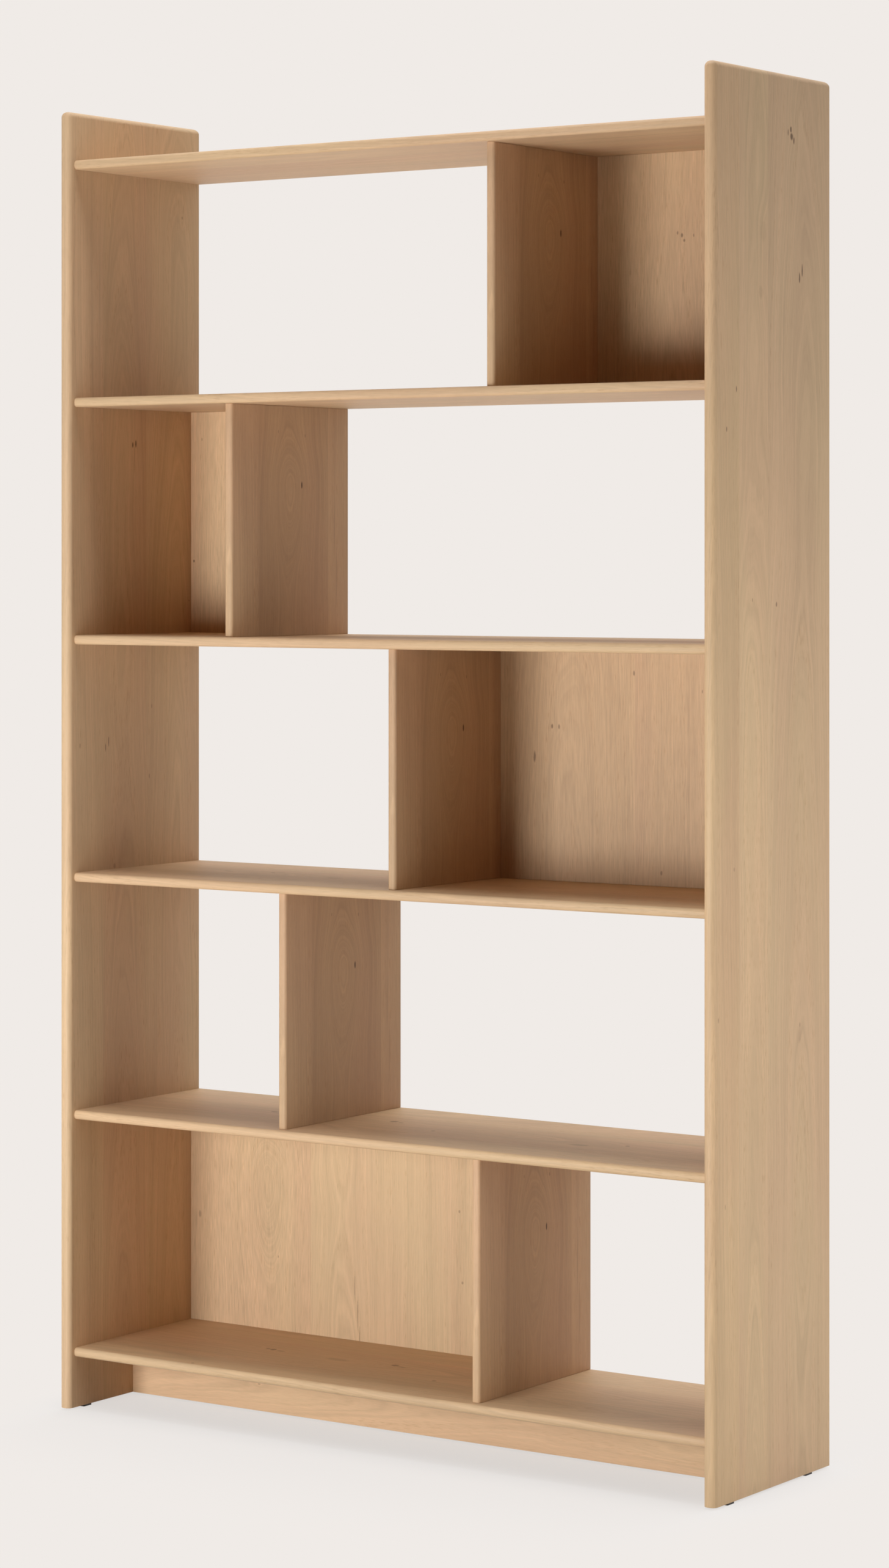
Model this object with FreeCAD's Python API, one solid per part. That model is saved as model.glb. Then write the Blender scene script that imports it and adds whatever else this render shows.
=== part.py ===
import FreeCAD, Part
import os

from FreeCAD import Vector

# A tall open oak bookcase, put together with hidden wooden dowels.
# Millimetres. X runs along the width, -Y is the front, +Z is up, and the origin
# lies on the floor at the middle of the footprint.

# Overall size
overall_width = 1232.0
overall_depth = 340.0
overall_height = 2100.0

# Sides: rounded along the front and all round the top, square at the rear and foot
side_thickness = 21.0
side_edge_radius = 9.0
side_lip_height = 78.0  # what stands above the top shelf

# Shelves: rounded nose, square rear edge flush with the sides
shelf_thickness = 15.0
shelf_set_back = 12.0  # nose behind the front of the sides
shelf_nose_radius = 6.5
bottom_shelf_height = 85.0  # floor to the underside of the lowest shelf

# Dividers: one upright board in each row
divider_thickness = 15.0
divider_set_back = 27.0  # behind the front of the sides
divider_edge_radius = 5.0
divider_end_ease = 0.8  # small chamfer round both ends, which draws the shadow line

# Clear width to the left of the divider, from the top row down
top_row_left_bay = 793.5
second_row_left_bay = 295.0
third_row_left_bay = 611.0
fourth_row_left_bay = 401.0
bottom_row_left_bay = 767.0

# Back panels: they close one bay of a row and sit a little in from the rear
back_panel_thickness = 15.0
back_panel_inset = 7.0

# Plinth: recessed board between the sides, under the lowest shelf
plinth_thickness = 15.0
plinth_set_back = 163.0  # behind the front of the sides

# Glides: flat pads with a pin, pressed into the foot of each side
glide_height = 3.0
glide_width = 18.0
glide_length = 20.0
glide_corner_radius = 2.0
glide_front_inset = 49.0  # front of the side to the middle of the pad
glide_rear_inset = 60.0  # rear of the side to the middle of the pad
glide_pin_diameter = 5.0
glide_pin_length = 18.0

# Dowels between the shelf or plinth ends and the sides
end_dowel_diameter = 8.0
end_dowel_in_side = 12.0
end_dowel_in_board = 18.0
shelf_dowel_inset = 50.0  # first and last dowel from the shelf's long edges
shelf_dowels_per_end = 3
plinth_dowels_per_end = 2
plinth_dowel_inset = 22.0  # from the plinth's long edges

# Dowels between an upright board and the face of a shelf
face_dowel_diameter = 6.0
face_dowel_in_upright = 20.0
face_dowel_web = 1.5  # wood left between sockets bored from both faces of a shelf
divider_dowel_inset = 45.0  # first and last dowel from the divider's long edges
divider_dowels_per_end = 3
panel_dowel_inset = 60.0  # first and last dowel from the panel's upright edges
panel_dowels_per_end = 2
plinth_top_dowel_inset = 120.0
plinth_top_dowels = 4

# Fits
dowel_fit = 0.1  # radial play of a dowel or pin in its socket
dowel_end_gap = 0.5  # glue room past each end of a dowel
dowel_chamfer = 1.0
least_flat = 0.5  # flat that any rounding leaves on each half of its board

# Places that follow from the sizes above
left_x = -overall_width / 2
right_x = overall_width / 2
front_y = -overall_depth / 2
rear_y = overall_depth / 2
foot_z = glide_height
bay_left_x = left_x + side_thickness
bay_right_x = right_x - side_thickness

UP = Vector(0, 0, 1)
RIGHT = Vector(1, 0, 0)

ROWS = (
    {"name": "top_row", "left_bay": top_row_left_bay, "backed": "right"},
    {"name": "second_row", "left_bay": second_row_left_bay, "backed": "left"},
    {"name": "third_row", "left_bay": third_row_left_bay, "backed": "right"},
    {"name": "fourth_row", "left_bay": fourth_row_left_bay, "backed": "none"},
    {"name": "bottom_row", "left_bay": bottom_row_left_bay, "backed": "left"},
)
SHELVES = (
    "top_shelf",
    "second_shelf",
    "third_shelf",
    "fourth_shelf",
    "fifth_shelf",
    "bottom_shelf",
)

top_shelf_z = overall_height - side_lip_height - shelf_thickness
shelf_pitch = (top_shelf_z - bottom_shelf_height) / len(ROWS)
shelf_z = [top_shelf_z - step * shelf_pitch for step in range(len(SHELVES))]
face_dowel_in_shelf = (shelf_thickness - face_dowel_web) / 2 - dowel_end_gap

boards = {}  # node name to solid, before its sockets are bored
sockets = {}  # node name to the blind holes bored in it
dowels = {}  # node name of a set of dowels to the dowels in it


def block(low, high):
    """A square-edged board between two corners."""
    size = high - low
    return Part.makeBox(size.x, size.y, size.z, low)


def within(radius, wall):
    """The rounding radius, held to what a board of that thickness has room for."""
    return min(radius, wall / 2 - least_flat)


def edges_in_plane(shape, axis, place):
    """The edges that lie wholly in the plane axis = place."""
    found = []
    for edge in shape.Edges:
        ends = [getattr(vertex.Point, axis) for vertex in edge.Vertexes]
        if all(abs(end - place) < Part.Precision.confusion() for end in ends):
            found.append(edge)
    return found


def edges_along(edges, axis):
    """Those of the edges that run along the axis."""
    return [e for e in edges if getattr(e.BoundBox, axis.upper() + "Length") > e.Length / 2]


def rod(start, axis, length, radius):
    return Part.makeCylinder(radius, length, start, axis)


def spread(low, high, inset, count):
    """Evenly spaced places between low and high, the outer ones inset from each."""
    first = low + inset
    last = high - inset
    return [first + (last - first) * step / (count - 1) for step in range(count)]


def dowel_joint(name, first, second, points, axis, depths, diameter):
    """Dowels across the joint face at points, along axis from board first into board second."""
    in_first, in_second = depths
    length = in_first + in_second
    for point in points:
        pin = rod(point - axis * in_first, axis, length, diameter / 2)
        pin = pin.makeChamfer(dowel_chamfer, [e for e in pin.Edges if e.Closed])
        dowels.setdefault(name, []).append(pin)
        bore_start = point - axis * (in_first + dowel_end_gap)
        bore = rod(bore_start, axis, length + 2 * dowel_end_gap, diameter / 2 + dowel_fit)
        for board in (first, second):
            sockets.setdefault(board, []).append(bore)


def make_side(name, low_x):
    low = Vector(low_x, front_y, foot_z)
    high = Vector(low_x + side_thickness, rear_y, overall_height)
    board = block(low, high)
    top_edges = edges_in_plane(board, "z", overall_height)
    front_edges = edges_along(edges_in_plane(board, "y", front_y), "z")
    radius = within(side_edge_radius, side_thickness)
    boards[name] = board.makeFillet(radius, top_edges + front_edges)


def make_shelf(name, low_z):
    nose_y = front_y + shelf_set_back
    board = block(
        Vector(bay_left_x, nose_y, low_z),
        Vector(bay_right_x, rear_y, low_z + shelf_thickness),
    )
    nose_edges = edges_along(edges_in_plane(board, "y", nose_y), "x")
    boards[name] = board.makeFillet(within(shelf_nose_radius, shelf_thickness), nose_edges)

    middle_z = low_z + shelf_thickness / 2
    places = spread(nose_y, rear_y, shelf_dowel_inset, shelf_dowels_per_end)
    left_points = [Vector(bay_left_x, y, middle_z) for y in places]
    right_points = [Vector(bay_right_x, y, middle_z) for y in places]
    join_ends(name, left_points, right_points)


def join_ends(name, left_points, right_points):
    """Dowels from both ends of a cross board into the sides."""
    group = name + "_dowels"
    into_board = (end_dowel_in_side, end_dowel_in_board)
    into_side = (end_dowel_in_board, end_dowel_in_side)
    dowel_joint(group, "left_side", name, left_points, RIGHT, into_board, end_dowel_diameter)
    dowel_joint(group, name, "right_side", right_points, RIGHT, into_side, end_dowel_diameter)


def join_upright(name, below, above, low_z, high_z, places):
    """Dowels from the foot and head of an upright board into the shelves below and above it."""
    group = name + "_dowels"
    foot_points = [Vector(x, y, low_z) for x, y in places]
    head_points = [Vector(x, y, high_z) for x, y in places]
    at_foot = (face_dowel_in_shelf, face_dowel_in_upright)
    at_head = (face_dowel_in_upright, face_dowel_in_shelf)
    dowel_joint(group, below, name, foot_points, UP, at_foot, face_dowel_diameter)
    dowel_joint(group, name, above, head_points, UP, at_head, face_dowel_diameter)


def make_divider(name, low_x, below, above, low_z, high_z):
    edge_y = front_y + divider_set_back
    board = block(
        Vector(low_x, edge_y, low_z),
        Vector(low_x + divider_thickness, rear_y, high_z),
    )
    front_edges = edges_along(edges_in_plane(board, "y", edge_y), "z")
    board = board.makeFillet(within(divider_edge_radius, divider_thickness), front_edges)
    end_edges = edges_in_plane(board, "z", low_z) + edges_in_plane(board, "z", high_z)
    boards[name] = board.makeChamfer(divider_end_ease, end_edges)

    middle_x = low_x + divider_thickness / 2
    places = spread(edge_y, rear_y, divider_dowel_inset, divider_dowels_per_end)
    join_upright(name, below, above, low_z, high_z, [(middle_x, y) for y in places])


def make_back_panel(name, low_x, high_x, below, above, low_z, high_z):
    panel_rear_y = rear_y - back_panel_inset
    panel_front_y = panel_rear_y - back_panel_thickness
    boards[name] = block(Vector(low_x, panel_front_y, low_z), Vector(high_x, panel_rear_y, high_z))

    middle_y = (panel_front_y + panel_rear_y) / 2
    places = spread(low_x, high_x, panel_dowel_inset, panel_dowels_per_end)
    join_upright(name, below, above, low_z, high_z, [(x, middle_y) for x in places])


def make_row(row, above, below, low_z, high_z):
    """The divider of one row and the panel behind one of its two bays."""
    divider_x = bay_left_x + row["left_bay"]
    make_divider(row["name"] + "_divider", divider_x, below, above, low_z, high_z)
    spans = {
        "left": (bay_left_x, divider_x),
        "right": (divider_x + divider_thickness, bay_right_x),
    }
    if row["backed"] in spans:
        low_x, high_x = spans[row["backed"]]
        make_back_panel(row["name"] + "_back_panel", low_x, high_x, below, above, low_z, high_z)


def make_plinth():
    face_y = front_y + plinth_set_back
    back_y = face_y + plinth_thickness
    boards["plinth"] = block(
        Vector(bay_left_x, face_y, foot_z),
        Vector(bay_right_x, back_y, bottom_shelf_height),
    )
    middle_y = (face_y + back_y) / 2
    heights = spread(foot_z, bottom_shelf_height, plinth_dowel_inset, plinth_dowels_per_end)
    left_points = [Vector(bay_left_x, middle_y, z) for z in heights]
    right_points = [Vector(bay_right_x, middle_y, z) for z in heights]
    join_ends("plinth", left_points, right_points)

    places = spread(bay_left_x, bay_right_x, plinth_top_dowel_inset, plinth_top_dowels)
    head_points = [Vector(x, middle_y, bottom_shelf_height) for x in places]
    depths = (face_dowel_in_upright, face_dowel_in_shelf)
    dowel_joint(
        "plinth_dowels", "plinth", "bottom_shelf", head_points, UP, depths, face_dowel_diameter
    )


def make_glide(name, side, middle_x, middle_y):
    half = Vector(glide_width / 2, glide_length / 2, 0)
    centre = Vector(middle_x, middle_y, 0)
    pad = block(centre - half, centre + half + UP * glide_height)
    pad = pad.makeFillet(within(glide_corner_radius, glide_width), edges_along(pad.Edges, "z"))
    pin_base = centre + UP * glide_height
    pin = rod(pin_base, UP, glide_pin_length, glide_pin_diameter / 2)
    boards[name] = pad.fuse(pin).removeSplitter()
    bore = rod(
        pin_base, UP, glide_pin_length + dowel_end_gap, glide_pin_diameter / 2 + dowel_fit
    )
    sockets.setdefault(side, []).append(bore)


def make_bookcase():
    make_side("left_side", left_x)
    make_side("right_side", bay_right_x)
    for name, low_z in zip(SHELVES, shelf_z):
        make_shelf(name, low_z)
    for step, row in enumerate(ROWS):
        above = SHELVES[step]
        below = SHELVES[step + 1]
        make_row(row, above, below, shelf_z[step + 1] + shelf_thickness, shelf_z[step])
    make_plinth()
    side_middles = {
        "left": left_x + side_thickness / 2,
        "right": right_x - side_thickness / 2,
    }
    for hand, middle_x in side_middles.items():
        side = hand + "_side"
        make_glide(hand + "_front_glide", side, middle_x, front_y + glide_front_inset)
        make_glide(hand + "_rear_glide", side, middle_x, rear_y - glide_rear_inset)


make_bookcase()
os.makedirs("parts", exist_ok=True)
for node, solid in boards.items():
    if node in sockets:
        solid = solid.cut(Part.makeCompound(sockets[node]))
    solid.exportStep("parts/" + node + ".step")
for node, pins in dowels.items():
    Part.makeCompound(pins).exportStep("parts/" + node + ".step")
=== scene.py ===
import math

import bmesh
import bpy
from mathutils import Matrix, Vector


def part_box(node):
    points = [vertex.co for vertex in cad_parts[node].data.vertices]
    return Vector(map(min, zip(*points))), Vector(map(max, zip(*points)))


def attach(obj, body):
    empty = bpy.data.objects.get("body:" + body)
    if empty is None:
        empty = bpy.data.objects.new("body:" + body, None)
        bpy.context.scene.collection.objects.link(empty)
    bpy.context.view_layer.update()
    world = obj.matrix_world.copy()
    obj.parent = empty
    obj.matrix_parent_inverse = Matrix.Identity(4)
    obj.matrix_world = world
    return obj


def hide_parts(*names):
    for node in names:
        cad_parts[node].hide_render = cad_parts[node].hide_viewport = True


# An oak bookcase: two tall sides, six shelves, staggered dividers, four back panels and a plinth.
# Metres. X runs along the width, -Y is the front, +Z is up.

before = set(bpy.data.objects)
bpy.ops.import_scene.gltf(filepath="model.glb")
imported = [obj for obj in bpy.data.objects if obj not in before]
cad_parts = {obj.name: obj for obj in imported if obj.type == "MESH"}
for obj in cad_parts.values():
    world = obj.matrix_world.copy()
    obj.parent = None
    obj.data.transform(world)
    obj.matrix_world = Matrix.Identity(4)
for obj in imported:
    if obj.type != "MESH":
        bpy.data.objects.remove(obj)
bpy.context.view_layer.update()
MM = 0.001

# Edges, as the joiner leaves them
SIDE_ROUND = 9.0 * MM
NOSE_ROUND = 6.5 * MM
DIVIDER_ROUND = 5.0 * MM
END_EASE = 0.8 * MM
EDGE_EASE = 0.5 * MM
ROUND_STEPS = 8
EASE_STEPS = 2
SHARP_ANGLE = math.radians(50)

# Which way the wood runs on each kind of board: rows are across, through and along the grain
UPRIGHT_GRAIN = Matrix(((0, 1, 0), (-1, 0, 0), (0, 0, 1)))
PANEL_GRAIN = Matrix(((1, 0, 0), (0, 1, 0), (0, 0, 1)))
SHELF_GRAIN = Matrix(((0, 1, 0), (0, 0, 1), (1, 0, 0)))
PLINTH_GRAIN = Matrix(((0, 0, 1), (0, -1, 0), (1, 0, 0)))

# The photograph's camera: a level view from the right, shifted down
CAMERA_PLACE = Vector((3.61514, -5.21800, 1.38208))
CAMERA_HEADING = math.radians(34.5342)
LEVEL_VIEW = math.radians(90)
CAMERA_LENS = 92.9926
CAMERA_SHIFT = -0.145683
SENSOR = 36.0


def srgb(red, green, blue):
    """An 8-bit screen colour as linear RGBA."""
    channels = [value / 255 for value in (red, green, blue)]
    linear = [c / 12.92 if c <= 0.04045 else ((c + 0.055) / 1.055) ** 2.4 for c in channels]
    return (*linear, 1.0)


def shaded(colour, share):
    """The colour made darker or lighter, with the same alpha."""
    return tuple(share * channel for channel in colour[:3]) + (1.0,)


PAPER = srgb(240, 235, 231)


# Wiring of shader nodes

UNSCALED = 1.0  # the vector given to a noise already holds its waves per metre
NOISE_ROUGHNESS = 0.5

# The mix node's sockets for colours
MIX_FACTOR = 0
MIX_FIRST = 6
MIX_SECOND = 7
MIX_COLOUR = 2


class Wiring:
    """Adds nodes to one node tree; a value given for a socket is set, a socket is linked."""

    def __init__(self, tree):
        self.tree = tree

    def feed(self, socket, value):
        if isinstance(value, bpy.types.NodeSocket):
            self.tree.links.new(value, socket)
        elif value is not None:
            socket.default_value = value

    def add(self, kind, *values, **settings):
        node = self.tree.nodes.new(kind)
        for name, setting in settings.items():
            setattr(node, name, setting)
        for socket, value in zip(node.inputs, values):
            self.feed(socket, value)
        return node

    def math(self, operation, *values):
        return self.add("ShaderNodeMath", *values, operation=operation).outputs[0]

    def vector(self, operation, *values):
        outputs = self.add("ShaderNodeVectorMath", *values, operation=operation).outputs
        return outputs["Value"] if operation == "DOT_PRODUCT" else outputs[0]

    def split(self, vector):
        return self.add("ShaderNodeSeparateXYZ", vector).outputs

    def ramp(self, value, start, end, low=0.0, high=1.0):
        node = self.add("ShaderNodeMapRange", value, start, end, low, high, interpolation_type="SMOOTHSTEP")
        return node.outputs[0]

    def waves(self, place, detail, dimensions):
        values = (place, None, UNSCALED, detail, NOISE_ROUGHNESS)
        return self.add("ShaderNodeTexNoise", *values, noise_dimensions=dimensions).outputs[0]

    def noise(self, vector, scales, detail=2.0):
        """Noise from 0 to 1, with its own number of waves per metre across, through and along."""
        return self.waves(self.vector("MULTIPLY", vector, scales), detail, "3D")

    def lines(self, ring, along, scales, detail=2.0):
        """Noise from 0 to 1 that follows the rings and changes slowly along the grain."""
        per_metre, drift = scales
        round_heart = self.math("MULTIPLY", ring, per_metre)
        down_board = self.math("MULTIPLY", along, drift)
        return self.waves(self.add("ShaderNodeCombineXYZ", round_heart, down_board).outputs[0], detail, "2D")

    def swing(self, noise, amount):
        """The noise turned about zero, to plus or minus the amount or so."""
        return self.math("MULTIPLY_ADD", noise, 2 * amount, -amount)

    def blend(self, factor, first, second, mode="MIX"):
        node = self.add("ShaderNodeMix", data_type="RGBA", blend_type=mode)
        self.feed(node.inputs[MIX_FACTOR], factor)
        self.feed(node.inputs[MIX_FIRST], first)
        self.feed(node.inputs[MIX_SECOND], second)
        return node.outputs[MIX_COLOUR]


def group(name, takes, gives):
    """An empty shader node group with named sockets; returns its tree, wiring, inputs and output node."""
    tree = bpy.data.node_groups.new(name, "ShaderNodeTree")
    for label, kind, default in takes:
        socket = tree.interface.new_socket(label, in_out="INPUT", socket_type=kind)
        if default is not None:
            socket.default_value = default
    for label, kind in gives:
        tree.interface.new_socket(label, in_out="OUTPUT", socket_type=kind)
    wiring = Wiring(tree)
    return tree, wiring, wiring.add("NodeGroupInput").outputs, wiring.add("NodeGroupOutput").inputs


FLOAT = "NodeSocketFloat"
VECTOR = "NodeSocketVector"
COLOUR = "NodeSocketColor"


# Oak

# Knots, in shares of their own size
KNOT_EDGE = 0.35  # how far the outline strays
KNOT_CORE = 0.55
KNOT_RIM = 1.25
KNOT_HALO = 2.2
KNOT_REACH = 3.2
KNOT_TAIL = 0.55  # the rings close again later below a knot than above it


def knot_group():
    """One knot, slit or eye: it bends the rings round itself and darkens its heart."""
    tree, w, given, out = group(
        "oak_knot",
        (
            ("Board", VECTOR, None),
            ("Place", VECTOR, None),
            ("Width", FLOAT, 0.004),
            ("Length", FLOAT, 0.008),
            ("Darkness", FLOAT, 1.0),
            ("Bend", FLOAT, 0.004),
            ("Stray", FLOAT, 0.0),
            ("Bend Before", FLOAT, 0.0),
            ("Dark Before", FLOAT, 0.0),
            ("Pale Before", FLOAT, 0.0),
        ),
        (("Bend", FLOAT), ("Dark", FLOAT), ("Pale", FLOAT)),
    )
    across, _, along = w.split(w.vector("SUBTRACT", given["Board"], given["Place"]))
    wide = w.math("DIVIDE", across, given["Width"])
    tall = w.math("DIVIDE", along, given["Length"])
    reach = w.math("SQRT", w.math("MULTIPLY_ADD", wide, wide, w.math("MULTIPLY", tall, tall)))
    strayed = w.math("MULTIPLY_ADD", given["Stray"], KNOT_EDGE, reach)
    heart = w.math("MULTIPLY", w.ramp(strayed, KNOT_RIM, KNOT_CORE), given["Darkness"])
    halo = w.math("MULTIPLY", w.ramp(strayed, KNOT_HALO, 1.0), given["Darkness"])
    tail = w.math("MULTIPLY_ADD", w.math("MINIMUM", tall, 0.0), KNOT_TAIL, w.math("MAXIMUM", tall, 0.0))
    apart = w.math("MULTIPLY_ADD", wide, wide, w.math("MULTIPLY", tail, tail))
    spread = w.math("DIVIDE", apart, -KNOT_REACH * KNOT_REACH)
    hill = w.math("MULTIPLY", w.math("EXPONENT", spread), given["Bend"])
    w.feed(out["Bend"], w.math("ADD", hill, given["Bend Before"]))
    w.feed(out["Dark"], w.math("MAXIMUM", heart, given["Dark Before"]))
    w.feed(out["Pale"], w.math("MAXIMUM", halo, given["Pale Before"]))
    return tree


PITH_DEPTH = 0.075  # from the board's middle to the heart of the log
PITH_SLOPE = 0.03
STRAW = srgb(203, 170, 131)
BLUSH = srgb(203, 167, 130)
PORE_TINT = (0.65, 0.57, 0.49, 1.0)
PALE_TINT = (1.07, 1.06, 1.04, 1.0)
KNOT_BROWN = srgb(88, 62, 44)
STAVE_SHIFT = 9.0  # moves each stave's noise somewhere else in the log
EVEN = (1.0, 1.0, 1.0, 1.0)

# Waves per metre across, through and along the grain
WANDER_WAVES = (4.0, 4.0, 0.8)
RIPPLE_WAVES = (40.0, 40.0, 7.0)
DRIFT_WAVES = (8.0, 8.0, 1.6)
CLOUD_WAVES = (15.0, 15.0, 6.0)
COMB_WAVES = (520.0, 520.0, 30.0)
PORE_WAVES = (900.0, 900.0, 60.0)
FIBRE_WAVES = (1500.0, 1500.0, 30.0)
STRAY_WAVES = (420.0, 420.0, 190.0)

# Lines per metre outwards from the heart, and waves per metre along them
BROAD_LINES = (36.0, 0.7)
SEASON_LINES = (150.0, 1.1)
THIN_LINES = (560.0, 1.8)

# How far the heart wanders and the rings ripple, in metres
WANDER = 0.05
RIPPLE = 0.003

# How much each kind of mark lightens or darkens the wood
BROAD_LIFT = 0.10
SEASON_LIFT = 0.08
THIN_LIFT = 0.14
CLOUD_LIFT = 0.05
FIBRE_LIFT = 0.12
COMB_LIFT = 0.17

# Pores: where in their noise they start and are full, and how they gather in rows
PORE_RANGE = (0.52, 0.74)
ROW_RANGE = (0.48, 0.72)
PORES_IN_ROWS = 0.75
PORES_BETWEEN = 0.25
PORE_STAIN = 0.45
ROW_STAIN = 0.05
PORE_HEIGHT = -0.8
FIBRE_HEIGHT = 0.25

BLUSH_RANGE = (0.35, 0.65)
HALO_SHARE = 0.6
OAK_ROUGHNESS = 0.5
PORE_ROUGHNESS = 0.15


def oak_group():
    """Plain-sawn oak in board coordinates: lines round the heart, pores, staves and the given knots."""
    tree, w, given, out = group(
        "oak",
        (
            ("Board", VECTOR, None),
            ("Seed", FLOAT, 0.0),
            ("Joint A", FLOAT, -9.0),
            ("Joint B", FLOAT, 9.0),
            ("Heart A", FLOAT, -0.2),
            ("Heart B", FLOAT, 0.0),
            ("Heart C", FLOAT, 0.2),
            ("Tone A", COLOUR, EVEN),
            ("Tone B", COLOUR, EVEN),
            ("Tone C", COLOUR, EVEN),
            ("Bend", FLOAT, 0.0),
            ("Dark", FLOAT, 0.0),
            ("Pale", FLOAT, 0.0),
            ("Figure A", FLOAT, 1.0),
            ("Figure B", FLOAT, 1.0),
            ("Figure C", FLOAT, 1.0),
        ),
        (("Color", COLOUR), ("Roughness", FLOAT), ("Height", FLOAT)),
    )
    across, through, along = w.split(given["Board"])

    # Staves: which one this is, and its own stretch of wood
    past_a = w.math("GREATER_THAN", across, given["Joint A"])
    past_b = w.math("GREATER_THAN", across, given["Joint B"])
    stave = w.math("ADD", w.math("ADD", past_a, past_b), given["Seed"])
    draw = w.add("ShaderNodeTexWhiteNoise", None, stave, noise_dimensions="1D").outputs
    wood = w.vector("ADD", given["Board"], w.vector("SCALE", draw["Color"], None, None, STAVE_SHIFT))
    tone = w.blend(past_b, w.blend(past_a, given["Tone A"], given["Tone B"]), given["Tone C"])

    def of_stave(label):
        first, second, third = (given[f"{label} {mark}"] for mark in "ABC")
        to_second = w.math("MULTIPLY_ADD", past_a, w.math("SUBTRACT", second, first), first)
        return w.math("MULTIPLY_ADD", past_b, w.math("SUBTRACT", third, second), to_second)

    heart = of_stave("Heart")
    figure = of_stave("Figure")

    # Distance from a heart that wanders along the log
    wander = w.swing(w.noise(wood, WANDER_WAVES), WANDER)
    ripple = w.swing(w.noise(wood, RIPPLE_WAVES), RIPPLE)
    depth = w.math("MULTIPLY_ADD", along, PITH_SLOPE, w.math("ADD", through, PITH_DEPTH))
    depth = w.math("ADD", w.math("ADD", depth, wander), given["Bend"])
    sideways = w.math("SUBTRACT", across, heart)
    ring = w.math("SQRT", w.math("MULTIPLY_ADD", sideways, sideways, w.math("MULTIPLY", depth, depth)))
    ring = w.math("ADD", ring, ripple)

    # Lines, pores and clouds
    far = w.split(wood)[2]
    broad = w.lines(ring, far, BROAD_LINES, detail=1.0)
    season = w.lines(ring, far, SEASON_LINES)
    thin = w.lines(ring, far, THIN_LINES)
    ticks = w.ramp(w.noise(wood, PORE_WAVES, detail=1.0), *PORE_RANGE)
    row = w.ramp(season, *ROW_RANGE)
    pored = w.math("MULTIPLY", ticks, w.math("MULTIPLY_ADD", row, PORES_IN_ROWS, PORES_BETWEEN))
    fibre = w.noise(wood, FIBRE_WAVES, detail=1.0)
    comb = w.swing(w.noise(wood, COMB_WAVES, detail=1.0), COMB_LIFT)
    cloud = w.noise(wood, CLOUD_WAVES)
    drift = w.noise(wood, DRIFT_WAVES, detail=1.0)

    lift = w.math("ADD", w.swing(broad, BROAD_LIFT), w.swing(season, SEASON_LIFT))
    lift = w.math("ADD", lift, w.math("ADD", w.swing(cloud, CLOUD_LIFT), w.swing(thin, THIN_LIFT)))
    lift = w.math("MULTIPLY_ADD", w.swing(fibre, FIBRE_LIFT), figure, lift)
    lift = w.math("MULTIPLY_ADD", comb, w.math("SUBTRACT", figure, 1.0), lift)
    tint = w.blend(1.0, w.blend(w.ramp(drift, *BLUSH_RANGE), STRAW, BLUSH), tone, "MULTIPLY")
    tint = w.vector("SCALE", tint, None, None, w.math("ADD", lift, 1.0))
    stain = w.math("MULTIPLY_ADD", pored, PORE_STAIN, w.math("MULTIPLY", row, ROW_STAIN))
    tint = w.blend(stain, tint, w.blend(1.0, tint, PORE_TINT, "MULTIPLY"))
    halo = w.math("MULTIPLY", given["Pale"], HALO_SHARE)
    tint = w.blend(halo, tint, w.blend(1.0, tint, PALE_TINT, "MULTIPLY"))
    tint = w.blend(given["Dark"], tint, KNOT_BROWN)
    w.feed(out["Color"], tint)
    w.feed(out["Roughness"], w.math("MULTIPLY_ADD", pored, PORE_ROUGHNESS, OAK_ROUGHNESS))
    relief = w.math("ADD", w.math("MULTIPLY", pored, PORE_HEIGHT), w.math("MULTIPLY", fibre, FIBRE_HEIGHT))
    w.feed(out["Height"], relief)
    return tree


KNOT = knot_group()
OAK = oak_group()
GRAIN_RELIEF = 0.00006
RELIEF_STRENGTH = 0.6
OAK_GLOSS = 0.25
OFF_BOARD = 9000  # a joint this far out isn't on the board
WHOLE_BOARD = (-OFF_BOARD, OFF_BOARD)
PLAIN_FIGURES = (1.0, 1.0, 1.0)


def oak_board(name, grain, seed, hearts, tones, knots, joints=WHOLE_BOARD, figures=PLAIN_FIGURES):
    """The oak of one board: the pattern is turned to its grain and centred on it.

    Joints and hearts are places across the board in millimetres; a board of one stave takes the middle
    one of its three hearts, tones and figures.
    """
    low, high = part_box(name)
    material = bpy.data.materials.new("oak_" + name)
    material.use_nodes = True
    w = Wiring(material.node_tree)
    shader = material.node_tree.nodes["Principled BSDF"]
    place = w.add("ShaderNodeTexCoord").outputs["Object"]
    turn = w.add("ShaderNodeMapping", place, grain @ (low + high) / -2, grain.to_euler())
    board = turn.outputs[0]
    stray = w.swing(w.noise(board, STRAY_WAVES), 1.0) if knots else 0.0
    bend, dark, pale = 0.0, 0.0, 0.0
    for knot in knots:
        across, along, width, length, darkness, pull = knot
        made = w.add("ShaderNodeGroup", node_tree=KNOT)
        middle = (across * MM, 0.0, along * MM)
        values = (board, middle, width * MM, length * MM, darkness, pull * MM, stray, bend, dark, pale)
        for socket, value in zip(made.inputs, values):
            w.feed(socket, value)
        bend, dark, pale = made.outputs
    wood = w.add("ShaderNodeGroup", node_tree=OAK)
    places = [MM * place for place in (*joints, *hearts)]
    values = (board, seed, *places, *tones, bend, dark, pale, *figures)
    for socket, value in zip(wood.inputs, values):
        w.feed(socket, value)
    relief = w.add("ShaderNodeBump")
    relief.inputs["Distance"].default_value = GRAIN_RELIEF
    relief.inputs["Strength"].default_value = RELIEF_STRENGTH
    w.feed(relief.inputs["Height"], wood.outputs["Height"])
    w.feed(shader.inputs["Base Color"], wood.outputs["Color"])
    w.feed(shader.inputs["Roughness"], wood.outputs["Roughness"])
    w.feed(shader.inputs["Normal"], relief.outputs[0])
    shader.inputs["Specular IOR Level"].default_value = OAK_GLOSS
    return material


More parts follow.
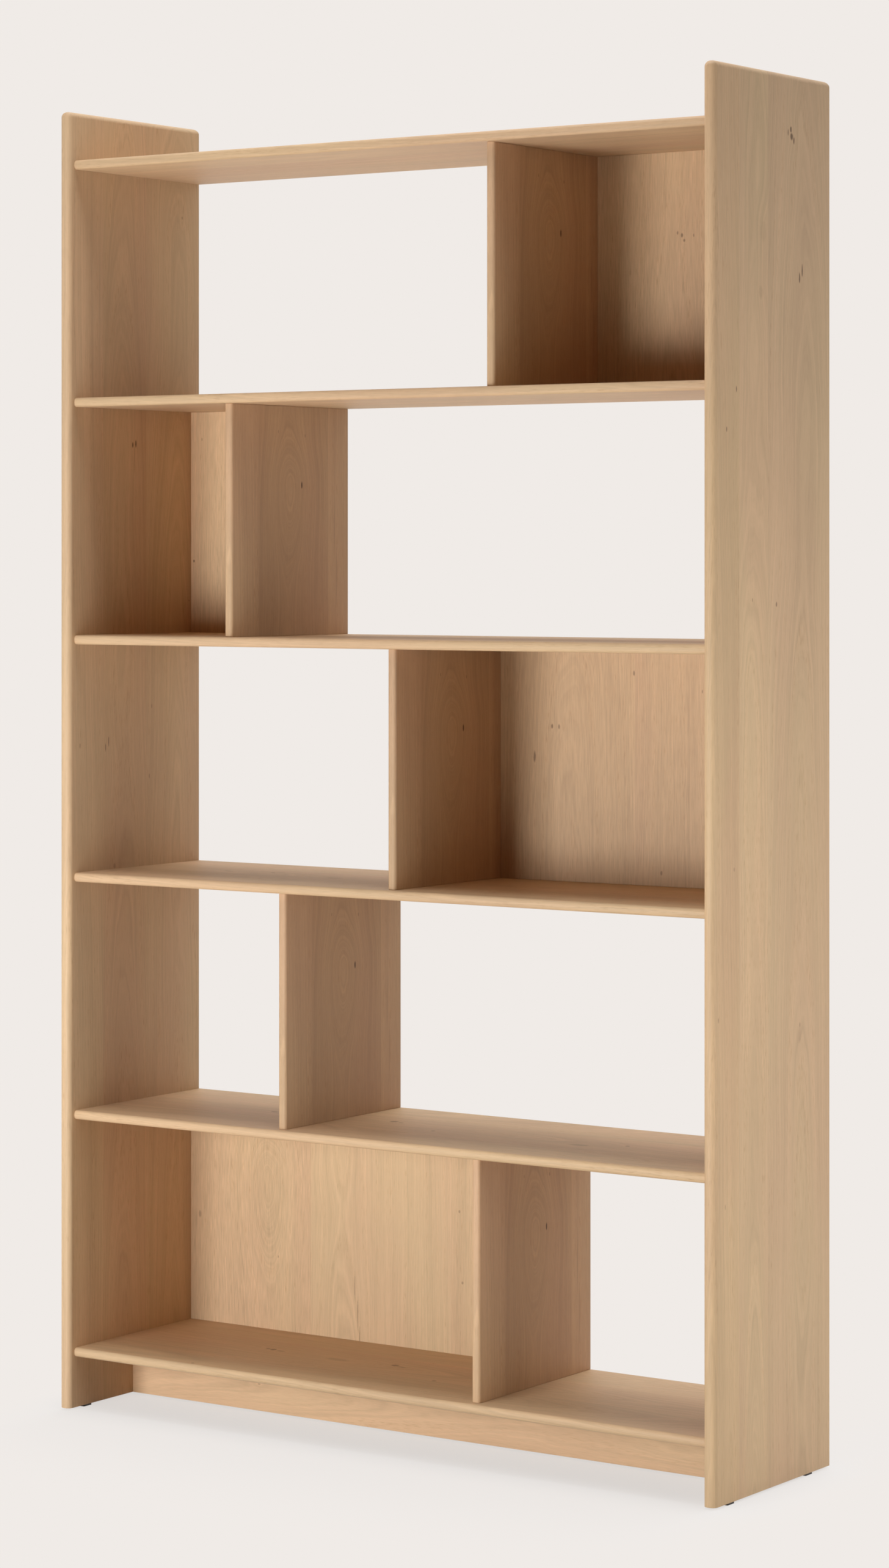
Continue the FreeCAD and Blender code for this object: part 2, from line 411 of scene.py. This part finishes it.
# Boards

TOUCH = 1e-6  # an edge this near a plane lies on it


def sides_of(edge, low, high):
    """The names of the board's outer planes that this edge lies on."""
    planes = {
        "left": (0, low), "right": (0, high), "front": (1, low),
        "rear": (1, high), "foot": (2, low), "top": (2, high),
    }
    return {
        name for name, (axis, corner) in planes.items()
        if all(abs(vertex.co[axis] - corner[axis]) < TOUCH for vertex in edge.verts)
    }


def round_off(shape, edges, radius, steps):
    """Rounds the edges of a shape."""
    bmesh.ops.bevel(
        shape, geom=edges, offset=radius, offset_type="OFFSET", affect="EDGES",
        segments=steps, profile=0.5, material=-1,
    )


def board(name, grain, rounded, radius, ease, **wood):
    """A solid board in its node's place, with the named edges rounded and the rest eased."""
    low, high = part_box(name)
    shape = bmesh.new()
    bmesh.ops.create_cube(shape, size=1.0)
    bmesh.ops.scale(shape, vec=high - low, verts=shape.verts)
    bmesh.ops.translate(shape, vec=(low + high) / 2, verts=shape.verts)
    chosen = [
        edge for edge in shape.edges
        if any(set(planes) <= sides_of(edge, low, high) for planes in rounded)
    ]
    if chosen:
        round_off(shape, chosen, radius, ROUND_STEPS)
    sharp = [edge for edge in shape.edges if edge.calc_face_angle(0.0) > SHARP_ANGLE]
    round_off(shape, sharp, ease, EASE_STEPS)
    mesh = bpy.data.meshes.new(name + "_board")
    shape.to_mesh(mesh)
    shape.free()
    mesh.shade_smooth()
    piece = bpy.data.objects.new(name + "_board", mesh)
    bpy.context.scene.collection.objects.link(piece)
    piece.modifiers.new("flat faces stay flat", "WEIGHTED_NORMAL")
    mesh.materials.append(oak_board(name, grain, **wood))
    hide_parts(name)
    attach(piece, "root")


# Edges to round, by the outer planes that they lie on
SIDE_EDGES = (("front", "left"), ("front", "right"), ("top",))
NOSE_EDGES = (("front", "top"), ("front", "foot"))
DIVIDER_EDGES = (("front", "left"), ("front", "right"))
SEED_STEP = 4  # more than the staves of a board, so that no two boards share one

# Tones of single staves, as shares of the common oak; some also hold painted light or shade, as noted where
# they are used
YELLOW = (0.995, 0.985, 0.96, 1.0)
LIGHT = (1.015, 1.02, 1.02, 1.0)
# The next two are partly the staves' own tone and partly painted light, which lightens the bottom-row back
# panel
SUNNY_WITH_PAINTED_LIGHT = (1.05, 1.07, 1.07, 1.0)
BRIGHT_WITH_PAINTED_LIGHT = (1.07, 1.11, 1.11, 1.0)
GREYISH = (0.98, 0.985, 1.0, 1.0)
PEACH = (1.0, 0.985, 0.985, 1.0)
ROSY = (0.97, 0.945, 0.945, 1.0)
REDDISH = (0.875, 0.81, 0.79, 1.0)
RUSSET = (0.905, 0.845, 0.825, 1.0)
CREAM = (0.935, 0.885, 0.87, 1.0)
# Partly the staves' own tone and partly painted light, which lightens the second-row back panel and the
# plinth
PALE_WITH_PAINTED_LIGHT = (1.17, 1.18, 1.2, 1.0)

# Knots, slits, ticks and swirls, in millimetres from the board's middle: across, along, half width,
# half length, darkness, and how far they bend the rings
LEFT_KNOTS = (
    (124, 896, 1.5, 3, 0.5, 2), (-7, 513, 1.6, 5, 0.95, 2), (1, 515, 1.6, 6, 0.95, 2),
    (-3, 490, 1.6, 24, 0.2, 0), (143, 255, 1, 2, 0.5, 0), (128, 343, 5, 14, 0.08, 3),
    (-70, 26, 1.1, 8, 0.7, 1), (-78, 17, 1.1, 7, 0.7, 1), (-143, 22, 1, 4, 0.5, 0),
    (43, 81, 1, 4, 0.5, 0), (36, -35, 1, 4, 0.5, 0), (-55, -178, 3, 5, 0.3, 1),
)
RIGHT_KNOTS = (
    (54, 956, 4.5, 5.5, 0.8, 4), (52, 966, 3, 5, 0.75, 1), (61, 950, 2.2, 6, 0.7, 0),
    (44, 961, 2, 5, 0.5, 0), (78, 746, 1.8, 9, 0.85, 2), (86, 757, 1.8, 9, 0.85, 2),
    (-30, 809, 9, 16, 0.1, 8), (-37, 719, 7, 10, 0.12, 3), (-108, 574, 1.5, 5, 0.75, 0),
    (-136, 514, 1.4, 4, 0.7, 0), (-120, 431, 10, 22, 0, 9), (9, 258, 2.2, 4, 0.6, 4),
    (-62, 265, 1, 3, 0.5, 1), (-115, -127, 1, 3.5, 0.6, 1), (-160, -343, 1, 4, 0.5, 0),
    (79, -372, 1, 4, 0.6, 1), (79, -385, 4, 14, 0.12, 0), (-140, -616, 0.9, 5, 0.45, 0),
    (-129, -675, 9, 40, 0, 10), (86, -851, 16, 60, 0, 14),
)
board(
    "left_side", UPRIGHT_GRAIN, SIDE_EDGES, SIDE_ROUND, EDGE_EASE, seed=11.0,
    joints=(-84, 28), hearts=(-240, -30, 110), tones=(LIGHT, PEACH, EVEN), knots=LEFT_KNOTS,
)
board(
    "right_side", UPRIGHT_GRAIN, SIDE_EDGES, SIDE_ROUND, EDGE_EASE, seed=23.0,
    joints=(-100, -16), hearts=(-240, -58, 85), tones=(YELLOW, LIGHT, GREYISH), knots=RIGHT_KNOTS,
)

SHELF_KNOTS = {
    "top_shelf": (),
    "second_shelf": (),
    "third_shelf": (),
    "fourth_shelf": (
        (19, -330, 3.5, 4, 0.6, 1), (-13, -184, 8, 16, 0.25, 3),
        (6, -410, 4, 9, 0.5, 2), (33, -325, 3, 10, 0.3, 1),
    ),
    "fifth_shelf": (
        (6, 354, 3.5, 4, 0.6, 1), (-27, 288, 8, 18, 0.25, 3), (-28, 18, 3.5, 4, 0.5, 0),
        (22, -92, 6, 8, 0.6, 2), (18, -76, 3, 5, 0.5, 0), (6, -317, 4, 8, 0.5, 2),
    ),
    "bottom_shelf": (
        (7, -320, 6, 6, 0.6, 3), (9, -332, 4, 4, 0.45, 1), (4, -303, 3, 9, 0.35, 0),
        (-152, -361, 2.5, 3, 0.6, 1), (14, -84, 6, 7, 0.6, 3), (9, -68, 3, 9, 0.4, 0),
        (0, -187, 9, 22, 0.2, 3), (-50, 35, 3.5, 4, 0.5, 0),
    ),
}
for number, (shelf, knots) in enumerate(SHELF_KNOTS.items()):
    board(
        shelf, SHELF_GRAIN, NOSE_EDGES, NOSE_ROUND, EDGE_EASE, seed=31.0 + SEED_STEP * number,
        joints=(-52, 63), hearts=(-100, 10, 130), tones=(EVEN, PEACH, LIGHT), knots=knots,
    )

# Dividers are cut from one panel, so all show the same eye and knot
EYE = (2, 58, 22, 18, 0, -36)
DIVIDER_KNOTS = (
    EYE, (29, 58, 2.2, 6, 0.9, 1), (38, 138, 0.9, 3, 0.6, 0), (-34, 143, 0.9, 3, 0.5, 0),
    (118, -10, 1.2, 45, 0.22, 0), (124, -85, 1.2, 50, 0.22, 0),
)
# Painted shade and light, row by row: a share below one darkens a row's divider to stand in for the shade of
# its bay, and a share above one lightens it
DIVIDER_PAINTED_SHADE = {
    "top_row": 0.98,
    "second_row": 0.96,
    "third_row": 0.87,
    "fourth_row": 0.92,
    "bottom_row": 1.02,
}
# The divider tones are partly the boards' own browner wood and partly painted shade, since their seen faces
# stand in the bays' shade
for row, painted_shade in DIVIDER_PAINTED_SHADE.items():
    staves = [shaded(tone, painted_shade) for tone in (CREAM, REDDISH, RUSSET)]
    board(
        row + "_divider", UPRIGHT_GRAIN, DIVIDER_EDGES, DIVIDER_ROUND, END_EASE, seed=61.0,
        joints=(-86, 101), hearts=(-400, 2, 330), tones=staves, knots=DIVIDER_KNOTS,
    )

PANEL_WOOD = {
    # Painted light: the top-row panel takes the lighter tone to lift its lit part beside the divider's
    # shadow
    "top_row_back_panel": dict(
        hearts=(0, -40, 0), tones=(LIGHT, LIGHT, LIGHT), figures=(1.0, 1.8, 1.0),
        knots=(
            (-36, 55, 2.3, 3.5, 0.6, 4), (-44, 59, 1.5, 3, 0.5, 0),
            (-32, 47, 2, 2.6, 0.55, 2), (-15, 54, 1.5, 2.5, 0.4, 0),
        ),
    ),
    # Painted light: the second-row panel's tone is lifted beyond its wood to stand in for light its bay
    # lacks
    "second_row_back_panel": dict(
        hearts=(0, 60, 0), tones=(PALE_WITH_PAINTED_LIGHT, PALE_WITH_PAINTED_LIGHT, PALE_WITH_PAINTED_LIGHT), figures=(1.0, 1.8, 1.0),
        knots=((-141, -65, 1.6, 2.6, 0.8, 2), (-124, 139, 1, 3, 0.5, 0)),
    ),
    "third_row_back_panel": dict(
        joints=(-30, OFF_BOARD), hearts=(-150, 110, 0), tones=(ROSY, ROSY, ROSY), figures=(1.5, 1.5, 1.0),
        knots=(
            (-184, 59, 2, 4, 0.6, 3), (-171, 59, 2, 4, 0.5, 3), (-32, 145, 2, 4, 0.5, 3),
            (18, -164, 2, 4, 0.5, 2), (92, 119, 1, 3, 0.5, 0), (-217, 10, 2.2, 9, 0.6, 5),
            (-13, 89, 12, 40, 0, 12),
        ),
    ),
    # Painted light: the bottom-row panel's tones are lifted beyond the staves' own difference
    "bottom_row_back_panel": dict(
        joints=(-133, 147), hearts=(-220, -70, 420), tones=(SUNNY_WITH_PAINTED_LIGHT, BRIGHT_WITH_PAINTED_LIGHT, SUNNY_WITH_PAINTED_LIGHT), figures=(1.9, 1.0, 1.3),
        knots=(
            (-44, -95, 1.1, 24, 0.35, 0), (-38, -140, 1.2, 26, 0.4, 0), (-34, -178, 1.2, 20, 0.4, 0),
            (-364, -7, 3, 6, 0.35, 4), (163, 45, 1.8, 2.5, 0.45, 2), (169, -69, 1.8, 2.5, 0.45, 2),
            (-200, -63, 1, 2.5, 0.5, 0), (-220, 60, 24, 22, 0, -34), (-108, 17, 22, 30, 0.03, 12),
        ),
    ),
}
for number, (panel, wood) in enumerate(PANEL_WOOD.items()):
    board(panel, PANEL_GRAIN, (), 0.0, EDGE_EASE, seed=71.0 + SEED_STEP * number, **wood)
# Painted light: the plinth, under the bottom shelf, takes a lifted tone in place of the light it lacks
board(
    "plinth", PLINTH_GRAIN, (), 0.0, EDGE_EASE, seed=91.0,
    hearts=(10, 0, 0), tones=(PALE_WITH_PAINTED_LIGHT, PALE_WITH_PAINTED_LIGHT, PALE_WITH_PAINTED_LIGHT), knots=((2, -334, 1.2, 3, 0.45, 2),),
)


# Dowels and glides keep their solids

SPECKLE_WAVES = (900.0, 900.0, 900.0)
SPECKLE_SHADE = 0.8
SPECKLE_RELIEF = 0.00005


def plain_finish(name, colour, roughness):
    """A small part's finish, with a fine speckle in colour and height."""
    material = bpy.data.materials.new(name)
    material.use_nodes = True
    w = Wiring(material.node_tree)
    shader = material.node_tree.nodes["Principled BSDF"]
    place = w.add("ShaderNodeTexCoord").outputs["Object"]
    speckle = w.noise(place, SPECKLE_WAVES)
    w.feed(shader.inputs["Base Color"], w.blend(speckle, shaded(colour, SPECKLE_SHADE), colour))
    relief = w.add("ShaderNodeBump")
    relief.inputs["Distance"].default_value = SPECKLE_RELIEF
    w.feed(relief.inputs["Height"], speckle)
    w.feed(shader.inputs["Normal"], relief.outputs[0])
    shader.inputs["Roughness"].default_value = roughness
    return material


beech = plain_finish("beech", srgb(214, 178, 138), roughness=0.6)
plastic = plain_finish("dark_plastic", srgb(38, 32, 29), roughness=0.5)
for name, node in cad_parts.items():
    if name.endswith("_dowels"):
        node.material_slots[0].material = beech
    elif name.endswith("_glide"):
        node.material_slots[0].material = plastic


# Floor, light and camera

FLOOR_HALF = 9.0
FLOOR_TONE = srgb(219, 218, 215)  # what the floor throws back on the wood
SHADOW_TONE = srgb(219, 224, 227)  # what the shadow under the bookcase shows
SHADOW_SHARE = 0.27
SHADOW_ENDS = (0.58, 0.72)  # metres from the middle, along the width
SHADOW_CORE = (0.1, 0.24)  # metres from the middle, to the front and the rear
SHADOW_EDGE = (0.2, 0.6)
OUTSIDE_CORE = 0.3
DAYLIGHT = (0.965, 1.0, 1.045, 1.0)


def floor():
    """A pale floor that keeps the shadow under the bookcase and runs into the background."""
    shape = bmesh.new()
    bmesh.ops.create_grid(shape, x_segments=1, y_segments=1, size=FLOOR_HALF)
    mesh = bpy.data.meshes.new("floor")
    shape.to_mesh(mesh)
    shape.free()
    plane = bpy.data.objects.new("floor", mesh)
    bpy.context.scene.collection.objects.link(plane)
    material = bpy.data.materials.new("pale_floor")
    material.use_nodes = True
    tree = material.node_tree
    tree.nodes.remove(tree.nodes["Principled BSDF"])
    w = Wiring(tree)
    sideways, outward, _ = w.split(w.vector("ABSOLUTE", w.add("ShaderNodeTexCoord").outputs["Object"]))
    core = w.ramp(outward, *SHADOW_CORE, 1.0, OUTSIDE_CORE)
    edge = w.ramp(outward, *SHADOW_EDGE, 1.0, 0.0)
    ends = w.ramp(sideways, *SHADOW_ENDS, SHADOW_SHARE, 0.0)
    near = w.math("MULTIPLY", w.math("MULTIPLY", core, edge), ends)
    rays = w.add("ShaderNodeLightPath").outputs
    seen = w.math("MAXIMUM", rays["Is Camera Ray"], rays["Is Glossy Ray"])
    ground = w.add("ShaderNodeBsdfDiffuse", w.blend(seen, FLOOR_TONE, SHADOW_TONE)).outputs[0]
    backdrop = w.add("ShaderNodeEmission", PAPER, 1.0).outputs[0]
    bare = w.math("MULTIPLY", seen, w.math("SUBTRACT", 1.0, near))
    mix = w.add("ShaderNodeMixShader", bare, ground, backdrop)
    w.feed(tree.nodes["Material Output"].inputs["Surface"], mix.outputs[0])
    mesh.materials.append(material)


def panel_light(name, place, aim, width, height, power):
    """A soft rectangular lamp that faces a point."""
    lamp = bpy.data.lights.new(name, "AREA")
    lamp.shape = "RECTANGLE"
    lamp.size, lamp.size_y = width, height
    lamp.energy, lamp.color = power, DAYLIGHT[:3]
    holder = bpy.data.objects.new(name, lamp)
    holder.location = place
    holder.rotation_euler = (Vector(aim) - Vector(place)).to_track_quat("-Z", "Y").to_euler()
    holder.visible_camera = False
    bpy.context.scene.collection.objects.link(holder)


def room(lobes, shine):
    """Soft light from the given directions; the camera and the gloss see the plain background."""
    world = bpy.data.worlds.new("room")
    world.use_nodes = True
    bpy.context.scene.world = world
    tree = world.node_tree
    w = Wiring(tree)
    toward = w.add("ShaderNodeTexCoord").outputs["Generated"]
    level = 0.0
    for direction, narrowness, strength in lobes:
        facing = w.vector("DOT_PRODUCT", toward, Vector(direction).normalized())
        lobe = w.math("POWER", w.math("MAXIMUM", facing, 0.0), narrowness)
        level = w.math("MULTIPLY_ADD", lobe, strength, level)
    light = tree.nodes["Background"]
    light.inputs["Color"].default_value = DAYLIGHT
    w.feed(light.inputs["Strength"], level)
    rays = w.add("ShaderNodeLightPath").outputs
    paper_level = w.ramp(rays["Is Camera Ray"], 0.0, 1.0, shine, 1.0)
    paper = w.add("ShaderNodeBackground", PAPER, paper_level).outputs[0]
    seen = w.math("MAXIMUM", rays["Is Camera Ray"], rays["Is Glossy Ray"])
    seen = w.math("MAXIMUM", seen, rays["Is Transmission Ray"])
    mix = w.add("ShaderNodeMixShader", seen, light.outputs[0], paper)
    w.feed(tree.nodes["World Output"].inputs["Surface"], mix.outputs[0])


floor()

# Where the room's soft light comes from: direction, narrowness, strength
REAR_LEFT = ((-0.62, 0.78, 0.0), 4.0, 1.7)
REAR_RIGHT = ((0.5, 0.7, 0.62), 4.0, 0.74)
REAR_HIGH = ((0.0, 0.6, 0.8), 16.0, 1.3)
OVER_REAR = ((0.0, 0.3, 0.95), 30.0, 8.2)
OVER_FRONT = ((0.0, -0.3, 0.95), 30.0, 2.0)
room((REAR_LEFT, REAR_RIGHT, REAR_HIGH, OVER_REAR, OVER_FRONT), shine=0.55)

panel_light(
    "near_key", place=(-0.66, -3.08, 0.62), aim=(-0.66, -1.86, 0.0), width=0.95, height=1.15, power=48.5,
)
panel_light(
    "far_key", place=(-0.92, -4.35, 0.62), aim=(-0.92, -3.13, 0.0), width=1.3, height=1.2, power=63.0,
)
panel_light(
    "right_low", place=(2.1, -0.35, 0.85), aim=(0.6, -0.1, 0.7), width=0.6, height=0.6, power=7.4,
)
panel_light(
    "right_rear", place=(2.4, 0.7, 0.95), aim=(0.0, 0.0, 0.72), width=0.9, height=1.2, power=4.0,
)
panel_light(
    "overhead", place=(0.0, -0.5, 3.57), aim=(0.0, -0.5, 0.0), width=1.8, height=0.5, power=21.5,
)

camera = bpy.data.objects.new("camera", bpy.data.cameras.new("camera"))
camera.location = CAMERA_PLACE
camera.rotation_euler = (LEVEL_VIEW, 0.0, CAMERA_HEADING)
camera.data.sensor_width = SENSOR
camera.data.lens = CAMERA_LENS
camera.data.shift_y = CAMERA_SHIFT
bpy.context.scene.collection.objects.link(camera)
bpy.context.scene.camera = camera
bpy.context.scene.view_settings.view_transform = "Standard"
